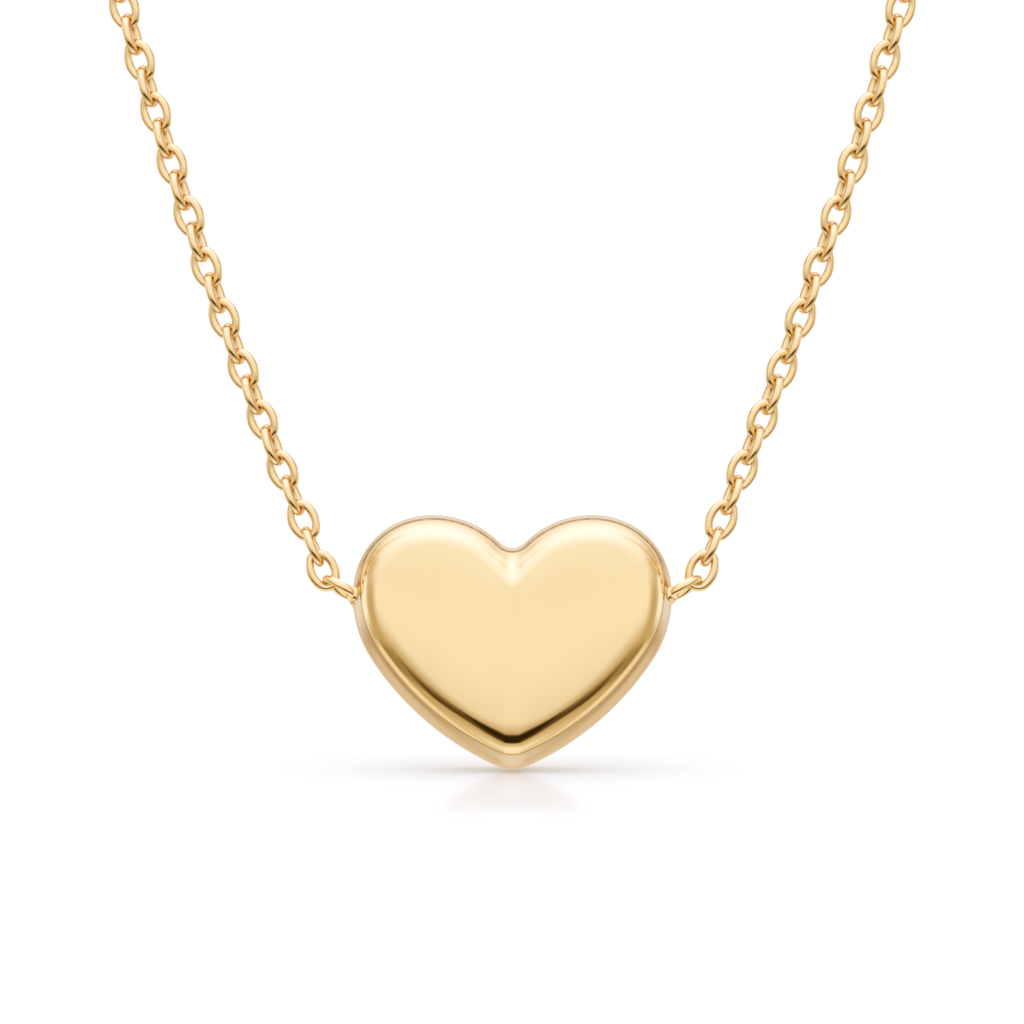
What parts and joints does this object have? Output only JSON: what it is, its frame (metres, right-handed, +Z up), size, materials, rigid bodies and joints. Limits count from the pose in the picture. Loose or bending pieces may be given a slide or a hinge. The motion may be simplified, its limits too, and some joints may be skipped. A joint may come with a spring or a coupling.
{
  "type": "heart chain necklace",
  "caption": "Puffed polished gold heart set in line on a fine oval-link cable chain, soldered at both sides, worn as one closed loop round a neck.",
  "frame": {"origin": "middle of the clasp at the nape, where the loop bears on the back of the neck", "axes": "+Z up, -Y towards the front of the wearer, where the heart hangs, +X to the right in the front view"},
  "size_m": [0.0894, 0.0864, 0.1508],
  "materials": {
    "polished_gold": "polished"
  },
  "bodies": {
    "chain": {"chain_front_left": "polished_gold", "chain_front_right": "polished_gold", "chain_back_left": "polished_gold", "chain_back_right": "polished_gold", "clasp": "polished_gold"},
    "heart": {"heart_pendant": "polished_gold"}
  },
  "joints": [
    {"name": "heart_swing", "type": "hinge", "parent": "chain", "child": "heart", "pos_m": [0, -0.084, -0.142], "axis": [1, 0, 0], "range_deg": [-30, 30]}
  ]
}
